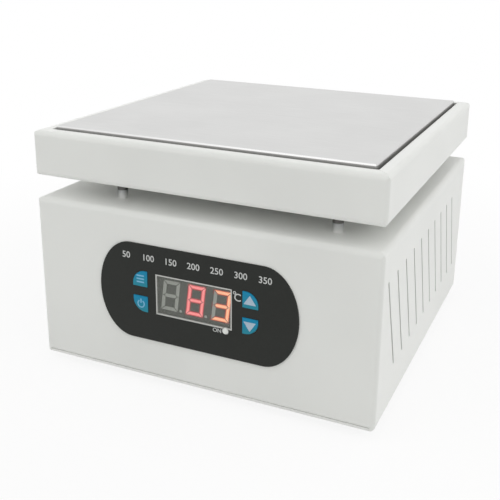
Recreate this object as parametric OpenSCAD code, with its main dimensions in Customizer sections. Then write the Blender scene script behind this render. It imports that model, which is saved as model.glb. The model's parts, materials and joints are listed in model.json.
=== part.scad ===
// Circuit board preheater: a hot plate in a sheet tray, on four posts over a control body.
// X runs to the right, Y to the back and Z up from the floor, in millimetres.

/* [Heating plate] */
// Side of the square heating plate
plate_size = 200; // [190:1:240]
// Thickness of the heating plate
plate_t = 10; // [9:0.5:11]
// Height of the plate above the rim
plate_proud = 2; // [0.5:0.1:3]
// Gap between the plate and the rim
plate_gap = 2; // [1.5:0.1:4]
// Round on the plate's upper edges
plate_edge_r = 1.2; // [0.4:0.1:1.5]
// Thickness of the mica heater under the plate
heater_t = 2; // [1:0.1:2.5]
// Thickness of the plate that clamps the heater
clamp_t = 1.5; // [1:0.1:2]
// Spacing of the heater's clamp screws
clamp_pitch = 90; // [84:1:120]

/* [Tray] */
// Width of the rim round the plate
rim_w = 8; // [6:0.5:12]
// Height of the tray
tray_h = 28; // [26:0.5:36]
// Width of the flange turned in under the tray
tray_flange = 14; // [13:0.5:15]
// Outer radius of the tray's lower folded edges
tray_low_r = 3.2; // [1.6:0.1:3.6]
// Thickness of the tray floor
pan_t = 1.2; // [1:0.1:1.5]

/* [Posts] */
// Diameter of the support posts
post_d = 6.4; // [5.4:0.1:8]
// From the plate's left edge to the left posts
post_inset_left = 38; // [30:1:44]
// From the plate's right edge to the right posts
post_inset_right = 23; // [18:1:32]
// From the plate's front and back edges to the posts
post_inset_y = 12; // [11:1:16]
// Air gap between body and tray
air_gap = 13.6; // [10:0.2:24]

/* [Body] */
// Height of the body with its bottom plate
body_h = 104.3; // [98:0.1:120]
// Thickness of the folded sheet
sheet_t = 1.2; // [0.8:0.1:1.4]
// Outer radius of the upper folded edges
bend_r = 3.4; // [1.8:0.1:3.6]
// Outer radius of the body's lower side edges
low_bend_r = 3; // [1.6:0.1:3.4]
// Round on the bottom plate's corners
low_edge_r = 0.5; // [0.3:0.1:0.8]
// Height of the shadow gap over the bottom plate
shadow_h = 0.6; // [0.3:0.1:0.8]
// Depth of the shadow gap
shadow_deep = 0.7; // [0.4:0.1:0.7]
// Outer radius of the upright corners
corner_r = 2.4; // [1.6:0.1:3]
// Width of the flange turned in under the body
body_flange = 12; // [11:0.5:14]
// Thickness of the bottom plate
bottom_t = 1.5; // [1:0.1:2]
// Height of the rubber feet
foot_h = 6; // [5:0.5:9]
// Diameter of the rubber feet
foot_d = 17; // [14:1:22]
// From the body's sides to the feet
foot_inset = 28; // [24:1:40]

/* [Side slots] */
// Slots in each side
slot_count = 10; // [6:1:10]
// Spacing of the slots
slot_pitch = 18.5; // [12:0.1:18.6]
// Length of a slot
slot_len = 64; // [40:1:70]
// Width of a slot
slot_w = 2; // [1.5:0.1:3]
// Lean of the slots' upper ends to the front, in degrees
slot_lean = 21; // [0:1:24]
// Middle of the row from the body's middle
slot_row_y = -4.6; // [-6:0.1:2]

/* [Front panel] */
// Width of the panel film
overlay_w = 129.4; // [126:0.2:150]
// Height of the panel film
overlay_h = 61; // [58:1:70]
// Reach of the film's elliptical ends
overlay_end = 21.5; // [18:0.5:26]
// Thickness of the film
overlay_t = 0.8; // [0.5:0.1:1]
// Middle of the panel from the body's middle
panel_x = -0.3; // [-5:0.1:5]
// Middle of the panel above the body's underside
panel_mid = 55.3; // [50:0.1:57]
// Width of a key
key_w = 9.7; // [9:0.1:11]
// Height of a key
key_h = 9.9; // [9:0.1:11]
// Radius of a key's large corner
key_r = 8; // [4:0.1:8.4]
// Middle of the key columns from the panel's middle
key_shift = -0.5; // [-1:0.1:1]
// From the middle of the keys to the two columns
key_dx = 36; // [35.5:0.1:40]
// From the row middle to the upper and lower keys
key_dz = 8.1; // [7.8:0.1:9]
// Row middle of the keys above the panel's middle
key_mid = 0.6; // [-1:0.1:2]
// Height of a key above the film
key_proud = 0.25; // [0.1:0.05:0.5]

/* [Display] */
// Width of the display with its bezel
window_w = 49.8; // [49:0.1:51]
// Height of the display with its bezel
window_h = 25.5; // [24:0.1:28]
// Width of the bezel line
bezel_w = 0.7; // [0.4:0.1:1]
// Display's middle from the panel's middle
window_dx = -1; // [-1.5:0.1:1.5]
// Display's middle above the panel's middle
window_dz = 0.4; // [-1:0.1:1]
// Height of a digit
digit_h = 19; // [16:0.5:20]
// Width of a digit
digit_w = 11; // [9:0.5:11.5]
// Spacing of the digits
digit_pitch = 16.6; // [14:0.1:16.8]
// Width of a segment
segment_w = 2.2; // [1.4:0.1:2.4]
// Lean of the digits, in degrees
digit_lean = 7; // [0:1:8]
// Diameter of the lamp beside the display
led_d = 4.2; // [3:0.1:5]

/* [Rear] */
// Inlet's middle from the body's middle
inlet_x = 62; // [56:1:66]
// Switch's middle from the body's middle
switch_x = 20; // [14:1:22]
// Inlet and switch above the body's underside
rear_mid = 32; // [28:1:40]
// Swing of the rocker between its two ends, in degrees
rocker_swing = 20; // [14:1:22]

/* [Hidden] */
$fn = 48;

// Clearances
slip = 0.05;          // a part that sits in its seat
key_clear = 0.2;      // round a key in its hole
hole_clear = 0.25;    // round a screw in a plain hole
rocker_clear = 0.3;   // round the rocker
over = 1;             // reach of a cutter past a face

// Overall levels
tray_size = plate_size + 2 * (plate_gap + rim_w);
body_size = tray_size;
window_size = plate_size + 2 * plate_gap;
z_base = foot_h;
z_case = z_base + bottom_t;
z_deck = z_base + body_h;
z_tray = z_deck + air_gap;
z_rim = z_tray + tray_h;
z_top = z_rim + plate_proud;
z_plate = z_top - plate_t;
z_heater = z_plate - heater_t;
z_clamp = z_heater - clamp_t;
z_pan = z_tray + sheet_t;
z_wool = z_pan + pan_t;
front_y = -body_size / 2;
wall_in = front_y + sheet_t;
back_y = body_size / 2;
back_in = back_y - sheet_t;

// Sheet
inner_bend = bend_r - sheet_t + 0.2;
inner_low = low_bend_r - sheet_t + 0.2;
inner_tray_low = tray_low_r - sheet_t + 0.2;
inner_corner = corner_r - sheet_t + 0.2;
window_r = 1.5;
seam_w = 0.35;
seam_deep = 0.25;

// Plate stack
heater_size = plate_size - 10;
plate_corner_r = 0.6;
pan_size = window_size - 2;
m4_r = 1.95;
m4_hole = m4_r + hole_clear;
m4_head_r = 3.5;
m4_head_h = 2.6;
thread_deep = 6;
post_left = -plate_size / 2 + post_inset_left;
post_right = plate_size / 2 - post_inset_right;
post_y = plate_size / 2 - post_inset_y;
post_spots = [for (x = [post_left, post_right], y = [-post_y, post_y]) [x, y]];
clamp_spots = [for (x = [-1, 1], y = [-1, 1]) [x, y] * clamp_pitch / 2];
spacer_r = 4;
rivet_r = 1.6;
rivet_head_r = 3.2;
rivet_head_h = 0.9;
rivet_edge = 2.9;
rivet_along = 60;
rivet_row = pan_size / 2 - rivet_edge;
rivet_spots = [for (s = [-1, 1], t = [-1, 1], k = [0, 1])
    k == 0 ? [s * rivet_row, t * rivet_along] : [t * rivet_along, s * rivet_row]];

// Lead bay under the heater
lead_y = 60;
sleeve_r = 6;
sleeve_bore = 4.6;
sleeve_low = z_deck - 18;
sleeve_high = z_wool + 1.5;
grommet_r = 10;
grommet_neck = 8;
grommet_lip = 2;
bay_x = 32;
bay_front = lead_y - 34;
bay_back = lead_y + 14;
stud_x = 20;
stud_y = lead_y - 20;
stud_len = 11;
stud_hole = 4.6;
lead_r = 1.2;
sensor_y = lead_y - 24;
sensor_r = 2.95;
sensor_hex = 10;
sensor_head = 4;
sensor_tail_r = 1.5;
sensor_tail = 3;
sensor_lead_r = 0.9;

// Body fasteners
m3_r = 1.4;
m3_hole = m3_r + hole_clear;
m3_head_r = 2.8;
m3_head_h = 2;
skirt_row = body_size / 2 - sheet_t - body_flange / 2;
skirt_along = 50;
skirt_spots = [for (s = [-1, 1], t = [-1, 1], k = [0, 1])
    k == 0 ? [s * skirt_row, t * skirt_along] : [t * skirt_along, s * skirt_row]];
foot_at = body_size / 2 - foot_inset;
foot_spots = [for (x = [-1, 1], y = [-1, 1]) [x, y] * foot_at];
foot_recess_r = 4.6;
foot_floor = foot_h - 2.4;
nut_m4 = 7;
nut_m4_h = 3.2;
nut_m3 = 5.5;
nut_m3_h = 2.4;

// Panel
slot_mid = 54.8;
panel_z = z_base + panel_mid;
window_x = panel_x + window_dx;
window_z = panel_z + window_dz;
bezel_proud = 0.1;
module_clear = 0.3;
module_deep = 8.5;
board_y = front_y + module_deep;
board_t = 1.6;
board_back = board_y + board_t;
board_w = 112;
board_h = 56;
standoff_r = 2.75;
board_edge = 6;
standoff_dx = board_w / 2 - board_edge;
standoff_dz = board_h / 2 - board_edge + 1;
board_spots = [for (x = [-1, 1], z = [-1, 1]) [panel_x + x * standoff_dx, panel_z + z * standoff_dz]];
digits_dx = 1.25;
digits_dz = 0.6;
digits_x = window_x + digits_dx;
digits_z = window_z + digits_dz;
segment_gap = 0.3;
segment_deep = 0.5;
dot_r = 0.9;
dot_dx = 1;
led_dx = 19.7;
led_below = 1.45;
led_clear = 0.2;
led_x = panel_x + led_dx;
led_z = window_z - window_h / 2 - led_below;
led_proud = 0.5;
key_lip = 1.2;
key_lip_t = 0.8;
key_back = wall_in + slip + key_lip_t;
tact_size = 6;
tact_deep = 3.6;
plunger_r = 1.7;
plunger_bore = 1.85;
plunger_in = 1.9;
plunger_room = 2.5;

// Parts on the back of the board, from the panel's middle
core_edge = 20;
core_dx = core_edge - board_w / 2;
core_dz = -8;
core_w = 30;
core_stack = 14;
core_deep = 25;
core_leg = 5;
coil_reach = 12;
sink_edge = 24;
sink_dx = board_w / 2 - sink_edge;
sink_dz = 12;
sink_w = 30;
sink_high = 24;
sink_base = 3;
sink_lift = 7;
fin_t = 1.6;
fin_len = 10;
fin_count = 6;
triac_w = 10;
triac_t = 4.4;
triac_high = 15;
cap_dx = -6;
cap_dz = -10;
cap_r = 6;
cap_len = 20;
chip_dx = -2;
chip_dz = 16;
chip_w = 18;
chip_high = 7.5;
chip_t = 2.5;
chip_pins = 10;
block_edge = 25;
block_dx = board_w / 2 - block_edge;
block_dz = -18;
block_ways = 6;
way_pitch = 5.08;
block_high = 10;
block_deep = 11;
way_r = 1.7;
way_deep = 6;
fuse_edge = 20;
fuse_dx = fuse_edge - board_w / 2;
fuse_dz = 17;
fuse_r = 2.6;
fuse_len = 20;
fuse_lift = 6;
clip_w = 4;

// Rear
rear_z = z_base + rear_mid;
inlet_w = 27;
inlet_h = 20;
inlet_deep = 15.5;
inlet_flange_w = 30.5;
inlet_flange_h = 24;
inlet_flange_t = 2.4;
inlet_head_h = 1.4;
inlet_ear = 20;
inlet_ear_r = 5;
socket_w = 22.6;
socket_h = 15.4;
socket_cut = 4;
socket_floor = 4;
pin_w = 4;
pin_t = 2;
pin_dx = 7;
pin_dz = 2;
pin_recess = 5.6;
pin_tail = 8;
switch_w = 12.8;
switch_h = 19.4;
switch_deep = 14;
switch_lip = 1.2;
switch_lip_t = 1.8;
rocker_w = 9.4;
rocker_r = 8;
rocker_y = back_y;
rocker_rise = 1.2;
rocker_cut = 3.2;
pivot_r = 1.5;
pivot_reach = 1.1;
tab_w = 4.8;
tab_t = 0.8;
tab_len = 8;
tab_dz = 5;
stud_edge = 10;
stud_back = 42;
stud_high = 14;
stud_flange_h = 1.5;
stud_nut_lift = 4;
stud_spot = [body_size / 2 - sheet_t - body_flange - stud_edge, back_y - stud_back];

// Leads
lead_in = 6;          // straight start of a lead
way_drop = 1.5;       // a way's hole below the block's middle
lead_low = z_base + body_h * 0.2;
lead_mid = z_base + body_h * 0.4;
lead_high = z_base + body_h * 0.6;
lead_front = -body_size * 0.23;
lead_back = body_size * 0.2;
lead_level = z_clamp - stud_len + lead_in / 2;

// Shapes that several parts share

function unit(v) = v / norm(v);

module rounded_rect(w, d, r) {
    square([w - 2 * r, d], center = true);
    square([w, d - 2 * r], center = true);
    for (x = [-1, 1], y = [-1, 1])
        translate([x * (w / 2 - r), y * (d / 2 - r)]) circle(r);
}

module wall_profile(w, z0, z1, r_top, r_low) {
    translate([-w / 2, z0 + r_low]) square([w, z1 - z0 - r_low - r_top]);
    translate([-w / 2 + r_top, z1 - 2 * r_top]) square([w - 2 * r_top, 2 * r_top]);
    translate([-w / 2 + r_low, z0]) square([w - 2 * r_low, 2 * r_low]);
    for (s = [-1, 1]) {
        translate([s * (w / 2 - r_top), z1 - r_top]) circle(r_top);
        translate([s * (w / 2 - r_low), z0 + r_low]) circle(r_low);
    }
}

module rise(z0, z1) { translate([0, 0, z0]) linear_extrude(z1 - z0) children(); }

module side_profile(size, z0, z1, r_top, r_low) {
    rotate([90, 0, 0]) linear_extrude(size, center = true) wall_profile(size, z0, z1, r_top, r_low);
}

// A square block with rounded upright, upper and lower edges
module soft_block(size, z0, z1, r_side, r_top, r_low) {
    intersection() {
        rise(z0, z1) rounded_rect(size, size, r_side);
        side_profile(size, z0, z1, r_top, r_low);
        rotate(90) side_profile(size, z0, z1, r_top, r_low);
    }
}

// Extrudes an outline drawn in X and Z from y0 back to y1
module along_y(y0, y1) { translate([0, y1, 0]) rotate([90, 0, 0]) linear_extrude(y1 - y0) children(); }

module rod_z(spot, r, z0, z1) { translate([spot[0], spot[1], z0]) cylinder(r = r, h = z1 - z0); }

module rod_y(spot, r, y0, y1) {
    translate([spot[0], y0, spot[1]]) rotate([-90, 0, 0]) cylinder(r = r, h = y1 - y0);
}

module hex_z(spot, flats, z0, z1) {
    translate([spot[0], spot[1], z0]) cylinder(d = flats / cos(30), h = z1 - z0, $fn = 6);
}

module ring_z(spot, r_out, r_in, z0, z1) {
    difference() {
        rod_z(spot, r_out, z0, z1);
        rod_z(spot, r_in, z0 - over, z1 + over);
    }
}

// A smooth curve through the points of a route
function curve_point(a, b, c, d, t) =
    0.5 * (2 * b + (c - a) * t + (2 * a - 5 * b + 4 * c - d) * t * t + (3 * b - a - 3 * c + d) * t * t * t);

function smooth_route(p, steps) =
    let (n = len(p), q = concat([2 * p[0] - p[1]], p, [2 * p[n - 1] - p[n - 2]]))
    concat([for (i = [1 : n - 1], k = [0 : steps - 1])
        curve_point(q[i - 1], q[i], q[i + 1], q[i + 2], k / steps)], [p[n - 1]]);

function route_ways(r) =
    [for (i = [0 : len(r) - 1]) unit(r[min(i + 1, len(r) - 1)] - r[max(i - 1, 0)])];

function carry_side(ways, side, i = 0, done = []) =
    i == len(ways) ? done :
    let (next = unit(side - ways[i] * (side * ways[i])))
    carry_side(ways, next, i + 1, concat(done, [next]));

module wire(points, r) {
    sides = 8;
    route = smooth_route(points, 3);
    ways = route_ways(route);
    side = carry_side(ways, [0.31, 0.17, 0.93]);
    n = len(route);
    skin = [for (i = [0 : n - 1], k = [0 : sides - 1])
        route[i] + r * (cos(360 * k / sides) * side[i] + sin(360 * k / sides) * cross(ways[i], side[i]))];
    polyhedron(skin, concat(
        [[for (k = [0 : sides - 1]) k]],
        [for (i = [0 : n - 2], k = [0 : sides - 1]) let (m = (k + 1) % sides)
            [i * sides + k, (i + 1) * sides + k, (i + 1) * sides + m, i * sides + m]],
        [[for (k = [sides - 1 : -1 : 0]) (n - 1) * sides + k]]
    ));
}

// Plate stack

module heating_plate() {
    color("gainsboro") difference() {
        soft_block(plate_size, z_plate, z_top, plate_corner_r, plate_edge_r, 0.4);
        for (p = concat(post_spots, clamp_spots))
            rod_z(p, m4_r + slip, z_plate - over, z_plate + thread_deep);
        rod_z([0, sensor_y], sensor_r + slip, z_plate - over, z_plate + thread_deep);
    }
}

module stack_holes() {
    for (p = concat(post_spots, clamp_spots)) translate(p) circle(m4_hole);
    translate([0, sensor_y]) circle(sensor_r + hole_clear);
}

module mica_heater() {
    color("tan") rise(z_heater, z_plate) difference() {
        square(heater_size, center = true);
        stack_holes();
    }
}

module clamp_plate() {
    color("silver") rise(z_clamp, z_heater) difference() {
        square(heater_size, center = true);
        stack_holes();
        for (s = [-1, 1]) translate([s * stud_x, stud_y]) circle(stud_hole);
    }
}

module clamp_screws() {
    color("dimgray") for (p = clamp_spots) {
        rod_z(p, m4_r, z_clamp, z_plate + thread_deep - over);
        rod_z(p, m4_head_r, z_clamp - m4_head_h, z_clamp);
    }
}

module heater_terminals() {
    color("goldenrod") for (s = [-1, 1]) {
        rod_z([s * stud_x, stud_y], m4_r, z_clamp - stud_len, z_heater);
        hex_z([s * stud_x, stud_y], nut_m4, z_clamp - 1 - nut_m4_h, z_clamp - 1);
    }
}

module thermocouple() {
    color("silver") {
        rod_z([0, sensor_y], sensor_r, z_clamp, z_plate + thread_deep - over);
        hex_z([0, sensor_y], sensor_hex, z_clamp - sensor_head, z_clamp);
        rod_z([0, sensor_y], sensor_tail_r, z_clamp - sensor_head - sensor_tail, z_clamp - sensor_head);
    }
}

module insulation_blanket() {
    color("whitesmoke") rise(z_wool, z_clamp) difference() {
        square(heater_size, center = true);
        for (p = post_spots) translate(p) circle(spacer_r + hole_clear);
        for (p = clamp_spots) translate(p) circle(m4_head_r + 2 * hole_clear);
        translate([-bay_x, bay_front]) square([2 * bay_x, bay_back - bay_front]);
    }
}

// Tray

module tray_shroud() {
    inner = tray_size - 2 * sheet_t;
    color("white") difference() {
        soft_block(tray_size, z_tray, z_rim, corner_r, bend_r, tray_low_r);
        soft_block(inner, z_pan, z_rim - sheet_t, inner_corner, inner_bend, inner_tray_low);
        rise(z_rim - sheet_t - over, z_rim + over) rounded_rect(window_size, window_size, window_r);
        rise(z_tray - over, z_pan + over) square(tray_size - 2 * (sheet_t + tray_flange), center = true);
        for (p = rivet_spots) rod_z(p, rivet_r + slip, z_tray - over, z_pan + over);
        for (a = [45 : 90 : 315]) rotate(a)
            translate([window_size / sqrt(2) - window_r, -seam_w / 2, z_rim - seam_deep])
                cube([rim_w * sqrt(2), seam_w, 2 * seam_deep]);
    }
}

module tray_pan() {
    color("white") rise(z_pan, z_wool) difference() {
        square(pan_size, center = true);
        for (p = post_spots) translate(p) circle(m4_hole);
        for (p = rivet_spots) translate(p) circle(rivet_r + slip);
        translate([0, lead_y]) circle(grommet_neck + slip);
    }
}

module tray_rivets() {
    color("silver") for (p = rivet_spots) {
        rod_z(p, rivet_r, z_tray, z_wool);
        rod_z(p, rivet_head_r, z_tray - rivet_head_h, z_tray);
        rod_z(p, rivet_head_r - 0.8, z_wool, z_wool + rivet_head_h);
    }
}

module plate_spacers() {
    color("silver") for (p = post_spots) ring_z(p, spacer_r, m4_hole, z_wool, z_clamp);
}

module support_posts() {
    color("lightgray") for (p = post_spots) ring_z(p, post_d / 2, m4_hole, z_deck, z_pan);
}

module post_screws() {
    color("silver") for (p = post_spots) {
        rod_z(p, m4_r, z_deck - sheet_t, z_plate + thread_deep - over);
        rod_z(p, m4_head_r, z_deck - sheet_t - m4_head_h, z_deck - sheet_t);
    }
}

module lead_sleeve() {
    color("ivory") ring_z([0, lead_y], sleeve_r, sleeve_bore, sleeve_low, sleeve_high);
}

// A rubber ring clipped over the edge of a hole in sheet
module grommet(z0, z1, lip) {
    difference() {
        union() {
            rod_z([0, lead_y], grommet_neck, z0 - grommet_lip, z1 + lip);
            rod_z([0, lead_y], grommet_r, z0 - grommet_lip, z0 - slip);
            rod_z([0, lead_y], grommet_r, z1 + slip, z1 + lip);
        }
        rod_z([0, lead_y], sleeve_r + slip, z0 - 2 * grommet_lip, z1 + 2 * grommet_lip);
    }
}

module deck_grommet() { color("dimgray") grommet(z_deck - sheet_t, z_deck, grommet_lip); }

module pan_grommet() { color("dimgray") grommet(z_pan, z_wool, 1.4); }

// Body

module slot_shape() {
    square([slot_len - slot_w, slot_w], center = true);
    for (s = [-1, 1]) translate([s * (slot_len - slot_w) / 2, 0]) circle(d = slot_w);
}

module side_slots() {
    for (i = [0 : slot_count - 1])
        translate([0, slot_row_y + (i - (slot_count - 1) / 2) * slot_pitch, z_base + slot_mid])
            rotate([slot_lean, 0, 0]) rotate([0, 90, 0])
                linear_extrude(body_size + 2 * over, center = true) slot_shape();
}

function key_spot(sx, sz) = [panel_x + key_shift + sx * key_dx, panel_z + key_mid + sz * key_dz];

// Outline of one key, with its large corner to the side sx and the level sz
module key_shape(sx, sz, grow = 0) {
    w = key_w + 2 * grow;
    h = key_h + 2 * grow;
    r = key_r + grow;
    translate(key_spot(sx, sz))
        mirror([sx < 0 ? 1 : 0, 0]) mirror([0, sz < 0 ? 1 : 0]) difference() {
            square([w, h], center = true);
            translate([w / 2 - r, h / 2 - r]) difference() {
                square(r + over);
                circle(r);
            }
        }
}

module window_shape(edge) {
    translate([window_x, window_z]) square([window_w + 2 * edge, window_h + 2 * edge], center = true);
}

module led_shape(grow) { translate([led_x, led_z]) circle(led_d / 2 + grow); }

module inlet_shape(w, h, cut) {
    translate([inlet_x, rear_z]) polygon([
        [-w / 2, -h / 2], [w / 2, -h / 2], [w / 2, h / 2 - cut],
        [w / 2 - cut, h / 2], [-w / 2 + cut, h / 2], [-w / 2, h / 2 - cut]
    ]);
}

// The box over the bottom plate, and the side edges that turn in beside the plate
module body_block() {
    intersection() {
        union() {
            intersection() {
                rise(z_case, z_deck) rounded_rect(body_size, body_size, corner_r);
                rotate(90) side_profile(body_size, z_base - 2 * bend_r, z_deck, bend_r, bend_r);
            }
            intersection() {
                rise(z_base, z_case + sheet_t) rounded_rect(body_size, body_size, corner_r);
                for (s = [-1, 1]) translate([s * (body_size - low_bend_r) / 2, 0, z_base])
                    cube([low_bend_r, body_size, 2 * body_flange], center = true);
            }
        }
        side_profile(body_size, z_base, z_deck, bend_r, low_bend_r);
    }
}

// The dark line over the bottom plate in the front and back walls
module shadow_gaps() {
    for (s = [-1, 1]) translate([0, s * body_size / 2, z_case + shadow_h / 2])
        cube([body_size - 2 * low_bend_r, 2 * shadow_deep, shadow_h], center = true);
}

module body_housing() {
    inner = body_size - 2 * sheet_t;
    color("white") difference() {
        body_block();
        soft_block(inner, z_case + sheet_t, z_deck - sheet_t, inner_corner, inner_bend, inner_low);
        rise(z_case - over, z_case + sheet_t + over) square(inner - 2 * body_flange, center = true);
        side_slots();
        shadow_gaps();
        along_y(front_y - over, wall_in + over) {
            window_shape(module_clear);
            for (sx = [-1, 1], sz = [-1, 1]) key_shape(sx, sz, key_clear);
            led_shape(2 * led_clear);
        }
        along_y(back_in - over, back_y + over) {
            inlet_shape(inlet_w + 2 * hole_clear, inlet_h + 2 * hole_clear, 0);
            for (s = [-1, 1]) translate([inlet_x + s * inlet_ear, rear_z]) circle(m3_hole);
            translate([switch_x, rear_z])
                square([switch_w + 2 * hole_clear, switch_h + 2 * hole_clear], center = true);
        }
        for (p = post_spots) rod_z(p, m4_hole, z_deck - sheet_t - over, z_deck + over);
        rod_z([0, lead_y], grommet_neck + slip, z_deck - sheet_t - over, z_deck + over);
        for (p = skirt_spots) rod_z(p, m3_r + slip, z_case - over, z_case + sheet_t + over);
    }
}

module bottom_plate() {
    color("white") rise(z_base, z_case) difference() {
        rounded_rect(body_size - 2 * (low_bend_r + slip), body_size, low_edge_r);
        for (p = skirt_spots) translate(p) circle(m3_hole);
        for (p = foot_spots) translate(p) circle(m4_hole);
    }
}

module bottom_screws() {
    color("silver") for (p = skirt_spots) {
        rod_z(p, m3_r, z_base, z_case + sheet_t + 3);
        rod_z(p, m3_head_r, z_base - m3_head_h, z_base);
    }
}

module rubber_feet() {
    color("dimgray") for (p = foot_spots) difference() {
        translate(p) cylinder(d1 = foot_d - 2, d2 = foot_d, h = foot_h);
        rod_z(p, foot_recess_r, -over, foot_floor);
        rod_z(p, m4_hole, 0, foot_h + over);
    }
}

module foot_fasteners() {
    color("silver") for (p = foot_spots) {
        rod_z(p, m4_r, foot_floor, z_case + nut_m4_h + over);
        rod_z(p, m4_head_r, foot_floor - m4_head_h, foot_floor);
        difference() {
            hex_z(p, nut_m4, z_case, z_case + nut_m4_h);
            rod_z(p, m4_r + slip, z_case - over, z_case + nut_m4_h + over);
        }
    }
}

module earth_stud() {
    color("goldenrod") {
        rod_z(stud_spot, m4_r, z_case, z_case + stud_high);
        rod_z(stud_spot, 2 * m4_r, z_case, z_case + stud_flange_h);
        hex_z(stud_spot, nut_m4, z_case + stud_nut_lift, z_case + stud_nut_lift + nut_m4_h);
    }
}

// Front panel

function ellipse_arc(x, a, b, from, to, n) =
    [for (i = [0 : n]) let (t = from + (to - from) * i / n) [x + a * cos(t), b * sin(t)]];

module overlay_shape() {
    straight = overlay_w / 2 - overlay_end;
    translate([panel_x, panel_z]) polygon(concat(
        ellipse_arc(straight, overlay_end, overlay_h / 2, -90, 90, 32),
        ellipse_arc(-straight, overlay_end, overlay_h / 2, 90, 270, 32)
    ));
}

module panel_overlay() {
    color("#333532") along_y(front_y - overlay_t, front_y) difference() {
        overlay_shape();
        window_shape(0);
        for (sx = [-1, 1], sz = [-1, 1]) key_shape(sx, sz, key_clear);
        led_shape(led_clear);
    }
}

module window_bezel() {
    color("lightgray") along_y(front_y - overlay_t - bezel_proud, front_y) difference() {
        window_shape(0);
        window_shape(-bezel_w);
        led_shape(led_clear);
    }
}

module display_window() {
    color("gray") along_y(front_y - overlay_t, front_y) difference() {
        window_shape(-bezel_w);
        led_shape(led_clear);
    }
}

// Segments of a digit: top, right pair, bottom and left pair clockwise, then the middle one
function segment(i) =
    let (a = digit_w / 2, b = digit_h / 2, w = segment_w, g = segment_gap)
    i == 6 ? [
        [w / 2 + g - a, 0], [w + g - a, w / 2], [a - w - g, w / 2],
        [a - w / 2 - g, 0], [a - w - g, -w / 2], [w + g - a, -w / 2]
    ] :
    i % 3 == 0 ? let (z = i == 0 ? 1 : -1)
        [[g - a, z * b], [a - g, z * b], [a - w - g, z * (b - w)], [w + g - a, z * (b - w)]] :
    let (x = i < 3 ? 1 : -1, z = i == 1 || i == 5 ? 1 : -1) [
        [x * a, z * (b - g)], [x * (a - w), z * (b - w - g)], [x * (a - w), z * (w / 2 + g)],
        [x * (a - w / 2 + g / 2), z * g / 2], [x * a, z * g / 2]
    ];

function leaned(p) = [p[0] + p[1] * tan(digit_lean), p[1]];

// One row per digit, with 1 for a segment that is lit
lit = [[0, 0, 0, 0, 0, 0, 0], [1, 1, 1, 1, 1, 1, 1], [1, 1, 1, 1, 0, 0, 1]];

module segments(state) {
    for (d = [0 : 2], i = [0 : 6])
        if (lit[d][i] == state)
            translate([digits_x + (d - 1) * digit_pitch, digits_z])
                polygon([for (p = segment(i)) leaned(p)]);
}

module digit_dots() {
    for (d = [0 : 1])
        translate([digits_x + (d - 1) * digit_pitch + digit_w / 2 + dot_dx, digits_z - digit_h / 2 + dot_r])
            circle(dot_r);
}

module display_module() {
    color("dimgray") difference() {
        along_y(front_y, board_y) window_shape(0);
        along_y(front_y - over, board_y + over) led_shape(led_clear);
        along_y(front_y - over, front_y + segment_deep) {
            segments(0);
            segments(1);
            digit_dots();
        }
    }
}

module segments_lit() { color("tomato") along_y(front_y, front_y + segment_deep) segments(1); }

module segments_unlit() {
    color("darkgray") along_y(front_y, front_y + segment_deep) {
        segments(0);
        digit_dots();
    }
}

module output_led() {
    tip = front_y - overlay_t - led_proud;
    dome = led_d / 4;
    color("white") translate([led_x, tip, led_z]) rotate([-90, 0, 0]) rotate_extrude() polygon(concat(
        [for (a = [0 : 15 : 90]) [led_d / 2 * sin(a), dome * (1 - cos(a))]],
        [[led_d / 2, board_y - tip], [0, board_y - tip]]
    ));
}

// A key cap with a lip behind the wall that holds it in
module key(sx, sz) {
    color("#1f7d98") {
        along_y(front_y - overlay_t - key_proud, key_back) key_shape(sx, sz);
        along_y(wall_in + slip, key_back) key_shape(sx, sz, key_lip);
    }
}

module plunger(sx, sz) {
    color("black") rod_y(key_spot(sx, sz), plunger_r, key_back, board_y - tact_deep + plunger_in);
}

module set_key() { key(-1, 1); }
module out_key() { key(-1, -1); }
module up_key() { key(1, 1); }
module down_key() { key(1, -1); }
module set_plunger() { plunger(-1, 1); }
module out_plunger() { plunger(-1, -1); }
module up_plunger() { plunger(1, 1); }
module down_plunger() { plunger(1, -1); }

module tact_bases() {
    color("silver") for (sx = [-1, 1], sz = [-1, 1]) difference() {
        along_y(board_y - tact_deep, board_y) translate(key_spot(sx, sz)) square(tact_size, center = true);
        rod_y(key_spot(sx, sz), plunger_bore, board_y - tact_deep - over, board_y - tact_deep + plunger_room);
    }
}

// Control board and what it carries

module board_place(dx, dz) { translate([panel_x + dx, board_back, panel_z + dz]) children(); }

module control_board() {
    color("darkgreen") along_y(board_y, board_back) difference() {
        translate([panel_x, panel_z]) square([board_w, board_h], center = true);
        for (p = board_spots) translate(p) circle(m3_hole);
    }
}

module board_standoffs() {
    color("goldenrod") for (p = board_spots) difference() {
        rod_y(p, standoff_r, wall_in, board_y);
        rod_y(p, m3_r + slip, wall_in + 1.5, board_y + over);
    }
}

module board_screws() {
    color("silver") for (p = board_spots) {
        rod_y(p, m3_r, board_y - 5, board_back);
        rod_y(p, m3_head_r, board_back, board_back + m3_head_h);
    }
}

module controller_chip() {
    pitch = chip_w / chip_pins;
    color("#222222") board_place(chip_dx, chip_dz) {
        translate([-chip_w / 2, 0.2, -chip_high / 2]) cube([chip_w, chip_t, chip_high]);
        for (i = [0 : chip_pins - 1], s = [-1, 1])
            translate([(i - (chip_pins - 1) / 2) * pitch - 0.3, 0, s * (chip_high / 2 + 0.4) - 0.6])
                cube([0.6, 0.8, 1.2]);
    }
}

module transformer_core() {
    wide = (core_w - 4 * core_leg) / 2;
    color("gray") board_place(core_dx, core_dz) difference() {
        translate([-core_w / 2, 0, -core_stack / 2]) cube([core_w, core_deep, core_stack]);
        for (s = [-1, 1])
            translate([s * (core_leg + wide / 2) - wide / 2, core_leg, -core_stack])
                cube([wide, core_deep - 2 * core_leg, 2 * core_stack]);
    }
}

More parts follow.
